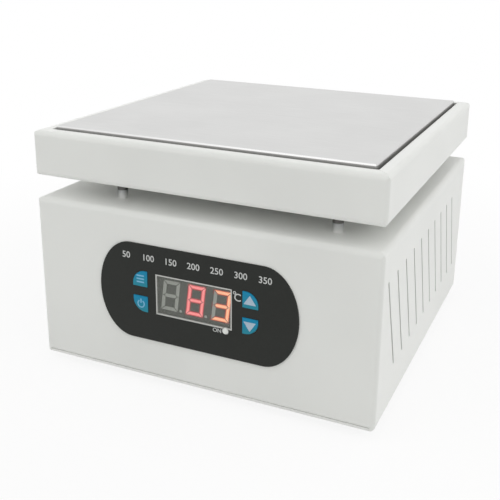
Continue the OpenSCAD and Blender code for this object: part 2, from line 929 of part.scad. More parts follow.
module transformer_winding() {
    wide = (core_w - 4 * core_leg) / 2;
    out = core_leg + wide - slip;
    color("saddlebrown") board_place(core_dx, core_dz) difference() {
        translate([-out, core_leg + slip, -coil_reach])
            cube([2 * out, core_deep - 2 * (core_leg + slip), 2 * coil_reach]);
        translate([-core_leg - slip, 0, -core_stack / 2 - slip])
            cube([2 * (core_leg + slip), core_deep, core_stack + 2 * slip]);
    }
}

module heat_sink() {
    color("black") board_place(sink_dx, sink_dz) rise(-sink_high / 2, sink_high / 2) {
        translate([-sink_w / 2, sink_lift]) square([sink_w, sink_base]);
        for (s = [-1, 1]) translate([s * (sink_w - fin_t) / 2 - fin_t / 2, 0])
            square([fin_t, sink_lift + over]);
        for (i = [0 : fin_count - 1])
            translate([-sink_w / 2 + i * (sink_w - fin_t) / (fin_count - 1), sink_lift + sink_base - over])
                square([fin_t, fin_len + over]);
    }
}

module triac() {
    color("#222222") board_place(sink_dx, sink_dz) {
        translate([-triac_w / 2, sink_lift - triac_t, -triac_high / 2]) cube([triac_w, triac_t, triac_high]);
        for (i = [-1 : 1]) translate([i * 2.54 - 0.4, 0, -triac_high / 2])
            cube([0.8, sink_lift - triac_t + over, 0.6]);
    }
}

module filter_capacitor() {
    spot = [panel_x + cap_dx, panel_z + cap_dz];
    color("darkslateblue") {
        rod_y(spot, cap_r, board_back, board_back + 3);
        rod_y(spot, cap_r - 0.5, board_back + 2, board_back + 5);
        rod_y(spot, cap_r, board_back + 4, board_back + cap_len);
    }
}

block_x = panel_x + block_dx;
block_z = panel_z + block_dz;
block_back = board_back + block_deep;
function way_x(i) = block_x + (i - (block_ways - 1) / 2) * way_pitch;

module terminal_block() {
    wide = block_ways * way_pitch + 1;
    color("seagreen") difference() {
        along_y(board_back, block_back)
            translate([block_x, block_z]) square([wide, block_high], center = true);
        for (i = [0 : block_ways - 1]) {
            rod_y([way_x(i), block_z - way_drop], way_r, block_back - way_deep, block_back + over);
            rod_z([way_x(i), board_back + block_deep / 2], way_r,
                block_z + block_high / 2 - 2.5, block_z + block_high);
        }
    }
}

module fuse_bar(r, len) { rotate([0, 90, 0]) cylinder(r = r, h = len, center = true); }

module glass_fuse() {
    color("lightcyan") board_place(fuse_dx, fuse_dz) translate([0, fuse_lift, 0]) {
        fuse_bar(fuse_r - 0.3, fuse_len);
        for (s = [-1, 1]) translate([s * (fuse_len / 2 - 2.5), 0, 0]) fuse_bar(fuse_r, 5);
    }
}

module fuse_clips() {
    color("silver") for (s = [-1, 1]) board_place(fuse_dx + s * (fuse_len / 2 - 2.5), fuse_dz) difference() {
        translate([-clip_w / 2, 0, -fuse_r - 0.8]) cube([clip_w, fuse_lift + 1.6, 2 * fuse_r + 1.6]);
        translate([0, fuse_lift, 0]) fuse_bar(fuse_r + slip, clip_w + over);
        translate([-clip_w, fuse_lift, -fuse_r + 0.6]) cube([2 * clip_w, 2 * fuse_lift, 2 * fuse_r - 1.2]);
    }
}

// Rear inlet and switch

socket_bottom = back_y - inlet_deep + socket_floor;

module pin_spots() {
    for (i = [-1 : 1])
        translate([inlet_x + i * pin_dx, rear_z + (i == 0 ? pin_dz : -pin_dz)]) children();
}

module iec_inlet() {
    color("#222222") difference() {
        union() {
            along_y(back_y, back_y + inlet_flange_t) {
                translate([inlet_x, rear_z]) {
                    square([inlet_flange_w, inlet_flange_h], center = true);
                    square([2 * inlet_ear, 2 * inlet_ear_r], center = true);
                    for (s = [-1, 1]) translate([s * inlet_ear, 0]) circle(inlet_ear_r);
                }
            }
            along_y(back_y - inlet_deep, back_y + over) inlet_shape(inlet_w, inlet_h, 1);
        }
        along_y(socket_bottom, back_y + inlet_flange_t + over) inlet_shape(socket_w, socket_h, socket_cut);
        along_y(back_y - inlet_deep - over, socket_bottom + over)
            pin_spots() square([pin_t + 2 * slip, pin_w + 2 * slip], center = true);
        for (s = [-1, 1])
            rod_y([inlet_x + s * inlet_ear, rear_z], m3_hole, back_y - over, back_y + inlet_flange_t + over);
    }
}

pin_back = back_y - inlet_deep - pin_tail;

module inlet_pins() {
    color("silver") along_y(pin_back, back_y + inlet_flange_t - pin_recess)
        pin_spots() square([pin_t, pin_w], center = true);
}

module inlet_fasteners() {
    color("silver") for (s = [-1, 1]) {
        spot = [inlet_x + s * inlet_ear, rear_z];
        rod_y(spot, m3_r, back_in - nut_m3_h - over, back_y + inlet_flange_t);
        rod_y(spot, m3_head_r, back_y + inlet_flange_t, back_y + inlet_flange_t + inlet_head_h);
        difference() {
            translate([spot[0], back_in - nut_m3_h, spot[1]]) rotate([-90, 0, 0])
                cylinder(d = nut_m3 / cos(30), h = nut_m3_h, $fn = 6);
            rod_y(spot, m3_r + slip, back_in - nut_m3_h - over, back_in + over);
        }
    }
}

module switch_body() {
    room_w = rocker_w + 2 * rocker_clear;
    room_h = 2 * (rocker_r + rocker_clear);
    color("#222222") difference() {
        union() {
            along_y(back_y, back_y + switch_lip_t) translate([switch_x, rear_z])
                square([switch_w + 2 * switch_lip, switch_h + 2 * switch_lip], center = true);
            along_y(back_y - switch_deep, back_y + over) translate([switch_x, rear_z])
                square([switch_w, switch_h], center = true);
        }
        along_y(rocker_y - rocker_r - rocker_clear, back_y + switch_lip_t + over)
            translate([switch_x, rear_z]) square([room_w, room_h], center = true);
        translate([switch_x, rocker_y, rear_z]) rotate([0, 90, 0])
            cylinder(r = pivot_r + slip, h = rocker_w + 2 * (pivot_reach + rocker_clear), center = true);
        along_y(back_y - switch_deep - over, back_y - switch_deep + 2) switch_tabs(slip);
    }
}

module switch_tabs(grow) {
    for (s = [-1, 1]) translate([switch_x, rear_z + s * tab_dz])
        square([tab_w + 2 * grow, tab_t + 2 * grow], center = true);
}

// Drawn in Y and Z round the pivot, with its outer faces meeting in a shallow valley
module rocker_shape() {
    half = rocker_swing / 2;
    reach = 2 * rocker_r;
    intersection() {
        circle(rocker_r);
        polygon([
            [-rocker_cut, -reach], [reach * sin(half) + rocker_rise, -reach * cos(half)], [rocker_rise, 0],
            [reach * sin(half) + rocker_rise, reach * cos(half)], [-rocker_cut, reach]
        ]);
    }
}

module switch_rocker() {
    color("#333333") translate([switch_x, rocker_y, rear_z]) rotate([-rocker_swing / 2, 0, 0]) {
        rotate([90, 0, 90]) linear_extrude(rocker_w, center = true) rocker_shape();
        rotate([0, 90, 0]) cylinder(r = pivot_r, h = rocker_w + 2 * pivot_reach, center = true);
    }
}

tab_back = back_y - switch_deep + 2 - tab_len;

module switch_terminals() { color("silver") along_y(tab_back, back_y - switch_deep + 2) switch_tabs(0); }

// Leads, each from one terminal to another

// Three points in line, so that a lead leaves its terminal straight
function straight(p, way, len = lead_in) = [p, p + way * len / 2, p + way * len];

function turned(list) = [for (i = [len(list) - 1 : -1 : 0]) list[i]];

function way_start(i) = straight(
    [way_x(i), block_back - way_deep, block_z - way_drop], [0, 1, 0], way_deep + lead_in);

function sleeve_run(x, y) = [
    [x, y, sleeve_low - 2 * lead_in], [x, y, sleeve_low], [x, y, z_deck + air_gap / 2], [x, y, z_tray]
];

module heater_leads() {
    color("ivory") for (s = [-1, 1]) {
        i = s < 0 ? 2 : 3;
        wire(concat(
            way_start(i),
            [
                [way_x(i), lead_front, lead_mid],
                [way_x(i) / 2 + s * lead_in / 2, 0, lead_mid + lead_in],
                [s * lead_in, lead_back, lead_high - lead_in]
            ],
            sleeve_run(s * 2 * lead_r, lead_y - lead_r),
            [
                [s * 2 * lead_r, lead_y - lead_r, z_wool + lead_r],
                [s * lead_in, lead_y - lead_in, lead_level],
                [s * 2 * lead_in, lead_y - 2.5 * lead_in, lead_level]
            ],
            turned(straight([s * (stud_x - m4_r), stud_y, lead_level], [-s, 0, 0], 3 * lead_r))
        ), lead_r);
    }
}

module sensor_lead() {
    color("white") wire(concat(
        way_start(4),
        [
            [way_x(4), lead_front + lead_in, lead_mid + lead_in],
            [way_x(4) / 2 + lead_in, 0, lead_high - lead_in],
            [1.5 * lead_in, lead_back + lead_in, lead_high]
        ],
        sleeve_run(0, lead_y + 2 * lead_r),
        [
            [0, lead_y + 2 * lead_r, z_wool + 2 * lead_r],
            [0, lead_y - lead_r, z_wool + lead_in],
            [0, lead_y - 2 * lead_in, z_wool + 3 * lead_r],
            [0, sensor_y + lead_in, z_wool + 2 * sensor_lead_r]
        ],
        turned(straight([0, sensor_y, z_clamp - sensor_head - sensor_tail], [0, 0, -1], lead_in / 2))
    ), sensor_lead_r);
}

module mains_leads() {
    back = [0, -1, 0];
    color("brown") {
        wire(concat(
            straight([switch_x, tab_back, rear_z + tab_dz], back),
            [[switch_x, lead_back, lead_low], [way_x(0), lead_front / 2, lead_low + lead_in]],
            turned(way_start(0))
        ), lead_r);
        wire(concat(
            straight([inlet_x + pin_dx, pin_back, rear_z - pin_dz], back),
            [
                [inlet_x - lead_in, lead_back, lead_low - lead_in / 2],
                [inlet_x / 2, 0, lead_low - lead_in / 2],
                [way_x(1), lead_front, lead_low + lead_in]
            ],
            turned(way_start(1))
        ), lead_r);
        wire(concat(
            straight([inlet_x - pin_dx, pin_back, rear_z - pin_dz], back),
            [[(inlet_x - pin_dx + switch_x) / 2, pin_back - 2 * lead_in, rear_z - tab_dz - lead_in / 2]],
            turned(straight([switch_x, tab_back, rear_z - tab_dz], back))
        ), lead_r);
    }
}

module earth_lead() {
    color("yellowgreen") wire(concat(
        straight([inlet_x, pin_back, rear_z + pin_dz], [0, -1, 0]),
        [[(inlet_x + stud_spot[0]) / 2, stud_spot[1] + lead_in / 2, rear_z - pin_dz]],
        turned(straight([stud_spot[0], stud_spot[1], z_case + stud_high], [0, 0, 1]))
    ), lead_r);
}

heating_plate();
mica_heater();
clamp_plate();
clamp_screws();
heater_terminals();
thermocouple();
insulation_blanket();
tray_shroud();
tray_pan();
tray_rivets();
plate_spacers();
support_posts();
post_screws();
lead_sleeve();
deck_grommet();
pan_grommet();
body_housing();
bottom_plate();
bottom_screws();
rubber_feet();
foot_fasteners();
panel_overlay();
window_bezel();
display_window();
display_module();
segments_lit();
segments_unlit();
output_led();
set_key();
out_key();
up_key();
down_key();
set_plunger();
out_plunger();
up_plunger();
down_plunger();
tact_bases();
control_board();
board_standoffs();
board_screws();
controller_chip();
transformer_core();
transformer_winding();
triac();
heat_sink();
filter_capacitor();
terminal_block();
glass_fuse();
fuse_clips();
iec_inlet();
inlet_pins();
inlet_fasteners();
switch_body();
switch_rocker();
switch_terminals();
heater_leads();
sensor_lead();
mains_leads();
earth_lead();
earth_stud();
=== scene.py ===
# %% [markdown]
# This lesson dresses a circuit board preheater: a square hot plate in a white sheet tray, on four posts over a
# white body with a key and display panel. Its solids come ready made, in metres, so no dimension is set here.
# The first cell brings them in.

# %% Load the solids
import json
import math

import bmesh
import bpy
from mathutils import Matrix, Vector


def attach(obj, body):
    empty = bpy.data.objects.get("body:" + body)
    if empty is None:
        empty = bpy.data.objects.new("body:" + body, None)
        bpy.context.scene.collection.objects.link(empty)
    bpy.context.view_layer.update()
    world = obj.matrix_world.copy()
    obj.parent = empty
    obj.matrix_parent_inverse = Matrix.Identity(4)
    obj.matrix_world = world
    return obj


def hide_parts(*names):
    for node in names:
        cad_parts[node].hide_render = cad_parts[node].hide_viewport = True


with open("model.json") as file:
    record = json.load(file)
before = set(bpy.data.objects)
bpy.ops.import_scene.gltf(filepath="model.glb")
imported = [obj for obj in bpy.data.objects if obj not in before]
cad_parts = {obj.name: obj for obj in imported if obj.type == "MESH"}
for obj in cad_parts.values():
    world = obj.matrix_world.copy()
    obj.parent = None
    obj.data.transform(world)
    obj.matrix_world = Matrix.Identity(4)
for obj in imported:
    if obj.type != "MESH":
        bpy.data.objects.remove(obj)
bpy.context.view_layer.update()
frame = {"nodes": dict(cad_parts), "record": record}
nodes = frame["nodes"]
MM = 0.001

# %% [markdown]
# The camera comes first, because each later look is judged through it. It could be turned by hand until the plate's
# corners meet those of the picture. Here its place and its three directions are numbers from a least-squares fit of
# the plate's, tray's and body's edges, so the perspective is right as well. The shift says that the picture was cut
# from a larger one.

# %% Camera
eye = Vector((204.99, -481.29, 259.03)) * MM
right = Vector((0.91387, 0.40576, 0.01429)).normalized()
ahead = Vector((-0.38439, 0.87601, -0.29130)).normalized()
up = right.cross(ahead).normalized()
right = ahead.cross(up).normalized()
SIDE_PX, FOCAL_PX, MIDDLE_PX = 500, 797.6, (264.0, 189.4)

lens = bpy.data.cameras.new("camera")
lens.sensor_fit = "HORIZONTAL"
lens.sensor_width = 36.0
lens.lens = FOCAL_PX / SIDE_PX * lens.sensor_width
lens.shift_x = 0.5 - MIDDLE_PX[0] / SIDE_PX
lens.shift_y = MIDDLE_PX[1] / SIDE_PX - 0.5
camera = bpy.data.objects.new("camera", lens)
camera.matrix_world = Matrix((
    (right.x, up.x, -ahead.x, eye.x), (right.y, up.y, -ahead.y, eye.y),
    (right.z, up.z, -ahead.z, eye.z), (0, 0, 0, 1)))
bpy.context.scene.collection.objects.link(camera)
bpy.context.scene.camera = camera
print("lens", round(lens.lens, 2), "shift", round(lens.shift_x, 4), round(lens.shift_y, 4))

# %% [markdown]
# A finish is a small sum: a base colour, plus a little of this noise, times that mask. Wiring a Math node for each
# sign hides the sum, so one class wraps a socket and lets Python's own signs add the nodes. The reflected forms are
# there so that 1 - mask works too. Every other node comes from the one method called node.

# %% Sums of sockets
class Sock:
    def __init__(self, tree, socket=None):
        self.tree, self.socket = tree, socket

    def node(self, kind, settings=None, inputs=None, out=0):
        made = self.tree.nodes.new("ShaderNode" + kind)
        for name, value in (settings or {}).items():
            setattr(made, name, value)
        for name, value in (inputs or {}).items():
            if isinstance(value, Sock):
                self.tree.links.new(value.socket, made.inputs[name])
            else:
                made.inputs[name].default_value = value
        return Sock(self.tree, made.outputs[out])

    def maths(self, operation, *terms):
        return self.node("Math", {"operation": operation}, dict(enumerate(terms)))

    def __add__(self, other): return self.maths("ADD", self, other)
    def __radd__(self, other): return self.maths("ADD", other, self)
    def __sub__(self, other): return self.maths("SUBTRACT", self, other)
    def __rsub__(self, other): return self.maths("SUBTRACT", other, self)
    def __mul__(self, other): return self.maths("MULTIPLY", self, other)
    def __rmul__(self, other): return self.maths("MULTIPLY", other, self)
    def __truediv__(self, other): return self.maths("DIVIDE", self, other)
    def __rtruediv__(self, other): return self.maths("DIVIDE", other, self)
    def __pow__(self, other): return self.maths("POWER", self, other)
    def __rpow__(self, other): return self.maths("POWER", other, self)
    def __gt__(self, other): return self.maths("GREATER_THAN", self, other)
    def __lt__(self, other): return self.maths("LESS_THAN", self, other)
    def __abs__(self): return self.maths("ABSOLUTE", self)

    def blend(self, low, high):
        return self.node("Mix", {"data_type": "RGBA"}, {0: self, 6: low, 7: high}, out=2)

    def ramp(self, low, high):
        return self.node("MapRange", {"interpolation_type": "SMOOTHSTEP"}, {0: self, 1: low, 2: high})


print("signs ready:", [name for name in vars(Sock) if name.startswith("__")][2:])

# %% [markdown]
# Each finish starts the same way: a shader with its plain values set straight on its sockets, and the place of a
# point on the piece in millimetres, so that grain keeps its real size on every part. The three coordinates are
# also handed out one by one, for stripes and masks.

# %% Start of a finish
def shade(r, g, b):
    """A colour written as on a screen, from 0 to 255, in the linear values that a shader takes."""
    return tuple((v / 255 / 12.92 if v <= 10 else ((v / 255 + 0.055) / 1.055) ** 2.4) for v in (r, g, b)) + (1.0,)


class Finish:
    def __init__(self, name, **plain):
        self.material = bpy.data.materials.new(name)
        self.material.use_nodes = True
        tree = self.material.node_tree
        self.shader = tree.nodes["Principled BSDF"]
        for socket, value in plain.items():
            self.shader.inputs[socket.replace("_", " ")].default_value = value
        self.start = Sock(tree)
        metres = self.start.node("TexCoord", out="Object")
        self.mm = self.start.node("VectorMath", {"operation": "SCALE"}, {0: metres, "Scale": 1000.0})
        self.x, self.y, self.z = (self.start.node("SeparateXYZ", {}, {0: self.mm}, out=i) for i in range(3))

    def noise(self, scale, detail=2.0, stretch=(1.0, 1.0, 1.0)):
        at = self.mm
        if stretch != (1.0, 1.0, 1.0):
            at = at.node("VectorMath", {"operation": "MULTIPLY"}, {0: at, 1: stretch})
        return at.node("TexNoise", {}, {"Vector": at, "Scale": scale, "Detail": detail})

    def feed(self, **sockets):
        for socket, value in sockets.items():
            self.start.tree.links.new(value.socket, self.shader.inputs[socket.replace("_", " ")])
        return self.material

    def bump(self, height, deep_mm, strength=1.0):
        return height.node("Bump", {}, {"Height": height, "Distance": deep_mm * MM, "Strength": strength})


finishes = {}
print("the coat's white in linear values:", [round(v, 3) for v in shade(238, 239, 236)[:3]])

# %% [markdown]
# The tray, body and bottom plate carry a white powder coat. Powder melts into a skin that is never quite flat: a
# faint orange-peel of about two millimetres under a finer grain. Both could be modelled, but the light is what
# shows them, so they are bump. A slow drift of one shade keeps large walls from looking like paper.

# %% White powder coat
coat = Finish("white_powder", IOR=1.5, Specular_IOR_Level=0.4, Diffuse_Roughness=0.9)
drift = coat.noise(0.015, 2.0)
peel = coat.noise(0.55, 3.0)
grain = coat.noise(2.6, 2.0)
finishes["white_powder"] = coat.feed(
    Base_Color=(0.7 * drift + 0.3 * grain).ramp(0.3, 0.7).blend(shade(236, 237, 234), shade(240, 241, 238)),
    Roughness=0.36 + 0.10 * peel,
    Normal=coat.bump(peel + 0.35 * grain, 0.03, 0.5))

# %% [markdown]
# The plate is bare aluminium, ground flat on a belt: fine lines run one way, a few deeper than the rest, and its
# surface is dull enough to show no sharp mirror image. Noise that is stretched fifty times along one axis gives such
# lines at any distance, which a drawn picture of scratches wouldn't. The rounded front edge gets a painted highlight,
# stronger towards the right, and the sides down in the gap get painted shade. Both follow from which way a face
# looks, so masks of its own direction place them.

# %% Ground aluminium plate
plate = Finish("plate_aluminium")
lines = plate.noise(3.0, 3.0, (0.02, 1.0, 1.0))
scores = plate.noise(0.9, 2.0, (0.012, 1.0, 1.0)).ramp(0.66, 0.74)
cloud = plate.noise(0.02, 3.0)
facing = plate.start.node("NewGeometry", out="Normal")
facing_y, facing_z = (facing.node("SeparateXYZ", {}, {0: facing}, out=i) for i in (1, 2))
# painted shade: faces that look sideways, the plate's sides down in the gap, are made darker
painted_gap_shade = 1 - facing_z.ramp(0.05, 0.45)
# painted highlight: the rounded front edge is made bright and mirror-like, more so towards the right
painted_edge_highlight = (0 - facing_y).ramp(0.15, 0.60) * (1 - painted_gap_shade) * (0.3 + 0.7 * plate.x.ramp(-110.0, 60.0))
ground_face = (0.6 * lines + 0.4 * cloud - 0.25 * scores).ramp(0.25, 0.75).blend(
    shade(211, 211, 210), shade(223, 223, 222))
finishes["plate_aluminium"] = plate.feed(
    Base_Color=painted_gap_shade.blend(painted_edge_highlight.blend(ground_face, shade(254, 254, 253)), shade(186, 185, 183)),
    Metallic=0.75 + 0.25 * painted_edge_highlight,
    Roughness=0.36 + 0.14 * lines + 0.05 * cloud - 0.20 * painted_edge_highlight,
    Normal=plate.bump(lines - 0.6 * scores, 0.01, 0.35))
print("plate finish with lines along x")

# %% [markdown]
# Posts, pan, rivets and screws are zinc-plated steel. The plating leaves a soft satin with faint cloudy patches, and
# turned or drawn parts show fine marks along their length. One finish serves them all, and height decides a painted
# tone: metal from just under the tray upwards gets painted shade, and the foot of each post a painted light band.

# %% Plated steel and brass
# the second pair of heights is where painted shade begins on the metal, as under the tray
DECK_Z, PAINTED_SHADE_Z = 110.3, (115.3, 116.1)


def plated(name, dark, light, painted_shade_colour, painted_light_colour, rough):
    metal = Finish(name, Metallic=1.0)
    patches = metal.noise(0.12, 3.0)
    marks = metal.noise(4.0, 2.0, (1.0, 1.0, 0.04))
    plain = (0.65 * patches + 0.35 * marks).ramp(0.3, 0.7).blend(dark, light)
    # painted light: the lower part of each post, just above the deck, is made brighter
    painted_light_band = (metal.z > DECK_Z) * (1 - metal.z.ramp(DECK_Z, PAINTED_SHADE_Z[1]))
    # painted shade: metal from just under the tray upwards is made darker
    painted_shade_top = metal.z.ramp(*PAINTED_SHADE_Z)
    return metal.feed(
        Base_Color=painted_shade_top.blend(painted_light_band.blend(plain, painted_light_colour), painted_shade_colour),
        Roughness=rough + 0.12 * patches + 0.06 * marks,
        Normal=metal.bump(marks, 0.006, 0.4))


finishes["plain_steel"] = plated("plain_steel", dark=shade(158, 160, 161), light=shade(184, 186, 187),
                                 painted_shade_colour=shade(100, 98, 96), painted_light_colour=shade(250, 250, 249), rough=0.26)
finishes["stud_brass"] = plated("stud_brass", dark=shade(196, 164, 92), light=shade(222, 192, 118),
                                painted_shade_colour=shade(138, 112, 66), painted_light_colour=shade(236, 208, 138), rough=0.26)
print("metals:", sorted(finishes))

# %% [markdown]
# The panel is a printed film with a fine matt emboss, like short leather grain. A cell pattern of a third of a
# millimetre gives it. The four keys are areas of blue print in the same film: the blue is deeper towards the top of
# each key and greener below, so its colour follows the height, counted afresh in each of the two rows.

# %% Panel film and blue keys
film = Finish("film_black", Specular_IOR_Level=0.25)
cells = film.mm.node("TexVoronoi", {"feature": "SMOOTH_F1"}, {"Vector": film.mm, "Scale": 2.6})
dust = film.noise(0.6, 4.0)
finishes["film_black"] = film.feed(
    Base_Color=(0.5 * cells + 0.5 * dust).ramp(0.2, 0.8).blend(shade(32, 34, 31), shade(38, 40, 37)),
    Roughness=0.46 + 0.12 * dust,
    Normal=film.bump(cells, 0.02, 0.35))

KEY_ROWS, KEY_HIGH = (53.8, 70.0), 9.9
blue = Finish("key_blue", Specular_IOR_Level=0.25)
speck = blue.noise(1.8, 3.0)
row = blue.z > sum(KEY_ROWS) / 2
level = ((blue.z - KEY_ROWS[0] - (KEY_ROWS[1] - KEY_ROWS[0]) * row) / KEY_HIGH + 0.5).ramp(0.0, 1.0)
finishes["key_blue"] = blue.feed(
    Base_Color=(0.8 * level + 0.2 * speck).blend(shade(38, 135, 153), shade(2, 134, 178)),
    Roughness=0.38 + 0.14 * speck,
    Normal=blue.bump(speck, 0.01, 0.3))
print("panel finishes ready")

# %% [markdown]
# The display shows 83. Its bars are lit from behind: pinker in the tens and more orange in the units, and palest
# along the middle of each bar. Real lamps would be slow and noisy for so small a glow, so the bars shine by
# themselves, and the grey face gets a painted red glow within a millimetre of them. Both need only the distance
# from a point to the middle lines of the lit bars, which a few absolute values give.

# %% Display
DIGIT_MIDDLES, DIGIT_Z, DIGIT_HALF, LEAN = (-0.05, 16.55), 62.3, (5.5, 9.5), math.tan(math.radians(7))
BAR_HALF, UNITS_X = 1.1, 8.0


def to_lit_bars(part, middle, left_lit):
    """Distances in mm from a point to the middle lines of a digit's lit bars and to the digit's outer box."""
    high = abs(part.z - DIGIT_Z)
    across = part.x - middle - LEAN * (part.z - DIGIT_Z)
    upright = abs((abs(across) if left_lit else across) - (DIGIT_HALF[0] - BAR_HALF))
    level = high.maths("MINIMUM", high, abs(high - (DIGIT_HALF[1] - BAR_HALF)))
    past_side = high.maths("MAXIMUM", abs(across) - DIGIT_HALF[0], 0.0)
    past_end = high.maths("MAXIMUM", high - DIGIT_HALF[1], 0.0)
    return high.maths("MINIMUM", upright, level), (past_side ** 2.0 + past_end ** 2.0) ** 0.5


lit = Finish("segment_lit", Roughness=0.5, Emission_Strength=1.0)
units = lit.x > UNITS_X
tens_line, units_line = (to_lit_bars(lit, middle, left)[0] for middle, left in zip(DIGIT_MIDDLES, (True, False)))
rim = (tens_line + units * (units_line - tens_line)).ramp(0.3, BAR_HALF)
lit_colour = units.blend(rim.blend(shade(252, 152, 152), shade(226, 78, 84)),
                         rim.blend(shade(255, 198, 158), shade(255, 126, 76)))
finishes["segment_lit"] = lit.feed(Base_Color=units.blend(shade(120, 30, 30), shade(120, 50, 20)),
                                   Emission_Color=lit_colour)

face = Finish("display_grey", Emission_Strength=0.35)
# painted glow: the face is given red colour and light near the lit bars, though it is no lamp
painted_glow = 0.0
for middle, left in zip(DIGIT_MIDDLES, (True, False)):
    line, far = to_lit_bars(face, middle, left)
    painted_glow = painted_glow + (1 - line.ramp(BAR_HALF, 2.3)) * (1 - far.ramp(0.0, 1.2))
tooth = face.noise(1.5, 3.0)
finishes["display_grey"] = face.feed(
    Base_Color=(0.7 * painted_glow).blend(tooth.blend(shade(77, 80, 73), shade(89, 92, 84)), shade(120, 46, 44)),
    Emission_Color=painted_glow.blend((0, 0, 0, 1), shade(160, 40, 36)),
    Roughness=0.5 + 0.15 * tooth)
print("lit digits at x", DIGIT_MIDDLES)

# %% [markdown]
# Over the digits lies a clear window, hard and glossy, with a slight grey veil. The unlit bars are pale grey resin,
# the lamp a white diffused lens, and the line round the display a light grey print. Each is a moulded or printed
# skin, so one function with a colour, a roughness and a grain size makes them and the other plastics.

# %% Plastics, rubber and print
def moulded(name, colour, rough, size_mm=0.5, deep_mm=0.01, **plain):
    skin = Finish(name, **plain)
    spots = skin.noise(1 / size_mm, 3.0)
    tone = skin.noise(0.05, 2.0)
    pale = tuple(min(1.0, v * 1.18 + 0.004) for v in colour[:3]) + (1.0,)
    return skin.feed(
        Base_Color=(0.5 * spots + 0.5 * tone).ramp(0.25, 0.75).blend(colour, pale),
        Roughness=rough + 0.12 * spots,
        Normal=skin.bump(spots, deep_mm, 0.5))


for name, colour, rough, size_mm, deep_mm in (
        ("segment_off", shade(166, 169, 161), 0.45, 0.8, 0.004),
        ("bezel_grey", shade(194, 195, 191), 0.42, 0.6, 0.004),
        ("switch_black", shade(34, 34, 35), 0.42, 0.3, 0.02),
        ("black_rubber", shade(36, 36, 36), 0.66, 0.5, 0.03),
        ("block_green", shade(64, 150, 100), 0.40, 0.4, 0.015),
        ("sleeve_blue", shade(44, 58, 120), 0.30, 0.9, 0.004),
        ("sink_black", shade(38, 38, 40), 0.34, 0.25, 0.008),
        ("white_silicone", shade(226, 222, 212), 0.46, 0.7, 0.01),
        ("brown_lead", shade(104, 62, 40), 0.40, 0.7, 0.01)):
    finishes[name] = moulded(name, colour, rough, size_mm, deep_mm)
finishes["lamp_white"] = moulded("lamp_white", shade(226, 228, 224), 0.14, 1.2, 0.003, Coat_Weight=0.4)

veil = Finish("window_clear", Alpha=0.12)
haze = veil.noise(0.08, 2.0)
finishes["window_clear"] = veil.feed(Base_Color=haze.blend(shade(150, 152, 148), shade(162, 164, 160)),
                                     Roughness=0.10 + 0.06 * haze)
print(len(finishes), "finishes so far")

# %% [markdown]
# What sits inside still gets its own finish, because the part may be opened or cut away in another picture: bare
# mica with flecks, felt with its fibres, iron sheets in a stack, wound copper, the green board with its tracks, a
# glass fuse with metal caps, the green and yellow earth lead and the woven sleeve round the hot leads.

# %% Finishes inside
def striped(name, coordinate, pitch_mm, dark, light, rough, deep_mm, **plain):
    part = Finish(name, **plain)
    axis = {"x": part.x, "y": part.y, "z": part.z}[coordinate]
    wave = 0.5 + 0.5 * axis.maths("SINE", axis * (2 * math.pi / pitch_mm))
    spots = part.noise(0.8, 2.0)
    return part.feed(Base_Color=(0.7 * wave + 0.3 * spots).blend(dark, light),
                     Roughness=rough + 0.15 * spots, Normal=part.bump(wave, deep_mm, 0.6))


finishes["core_iron"] = striped("core_iron", "z", 0.5, shade(96, 96, 98), shade(150, 150, 152), 0.35, 0.05,
                                Metallic=0.8)
finishes["copper_wire"] = striped("copper_wire", "y", 0.45, shade(120, 58, 30), shade(196, 112, 66), 0.28, 0.12)
finishes["green_lead"] = striped("green_lead", "z", 6.0, shade(70, 120, 40), shade(214, 196, 50), 0.40, 0.005)

mica = Finish("mica", Coat_Weight=0.2)
flecks = mica.mm.node("TexVoronoi", {"feature": "F1"}, {"Vector": mica.mm, "Scale": 0.7})
finishes["mica"] = mica.feed(Base_Color=flecks.ramp(0.1, 0.7).blend(shade(214, 196, 158), shade(168, 148, 112)),
                             Roughness=0.30 + 0.25 * flecks, Normal=mica.bump(flecks, 0.03, 0.4))

felt = Finish("wool", Roughness=0.95)
fibres = felt.noise(1.4, 5.0, (1.0, 0.15, 1.0)) + felt.noise(1.4, 5.0, (0.15, 1.0, 1.0))
finishes["wool"] = felt.feed(
    Base_Color=(0.5 * fibres).ramp(0.3, 0.7).blend(shade(214, 210, 200), shade(238, 236, 230)),
    Normal=felt.bump(fibres, 0.3, 0.8))

board = Finish("board_green", Coat_Weight=0.3)
tracks = board.mm.node("TexVoronoi", {"distance": "MANHATTAN", "feature": "DISTANCE_TO_EDGE"},
                       {"Vector": board.mm, "Scale": 0.28})
runs = 1 - tracks.ramp(0.05, 0.09)
finishes["board_green"] = board.feed(Base_Color=runs.blend(shade(22, 92, 48), shade(44, 126, 70)),
                                     Roughness=0.32 + 0.1 * runs, Normal=board.bump(runs, 0.03, 0.5))

FUSE_X, FUSE_GLASS_HALF = -36.3, 5.0
fuse = Finish("fuse_glass")
caps = abs(fuse.x - FUSE_X) > FUSE_GLASS_HALF
smear = fuse.noise(0.5, 3.0)
finishes["fuse_glass"] = fuse.feed(Base_Color=caps.blend(shade(216, 226, 224), shade(206, 208, 208)), Metallic=caps,
                                   Alpha=0.35 + 0.65 * caps, Roughness=0.08 + 0.2 * smear)

SLEEVE_Y, STRANDS_ROUND, STRANDS_PER_MM = 60.0, 10.0, 2.2
weave = Finish("glass_sleeve", Roughness=0.85)
turn = weave.x.maths("ARCTAN2", weave.y - SLEEVE_Y, weave.x) * STRANDS_ROUND
climb = weave.z * STRANDS_PER_MM
strands = turn.maths("SINE", turn + climb) * turn.maths("SINE", turn - climb)
finishes["glass_sleeve"] = weave.feed(
    Base_Color=(0.5 + 0.5 * strands).blend(shade(204, 198, 184), shade(236, 232, 222)),
    Normal=weave.bump(strands, 0.25, 0.8))
print(len(finishes), "finishes in all")

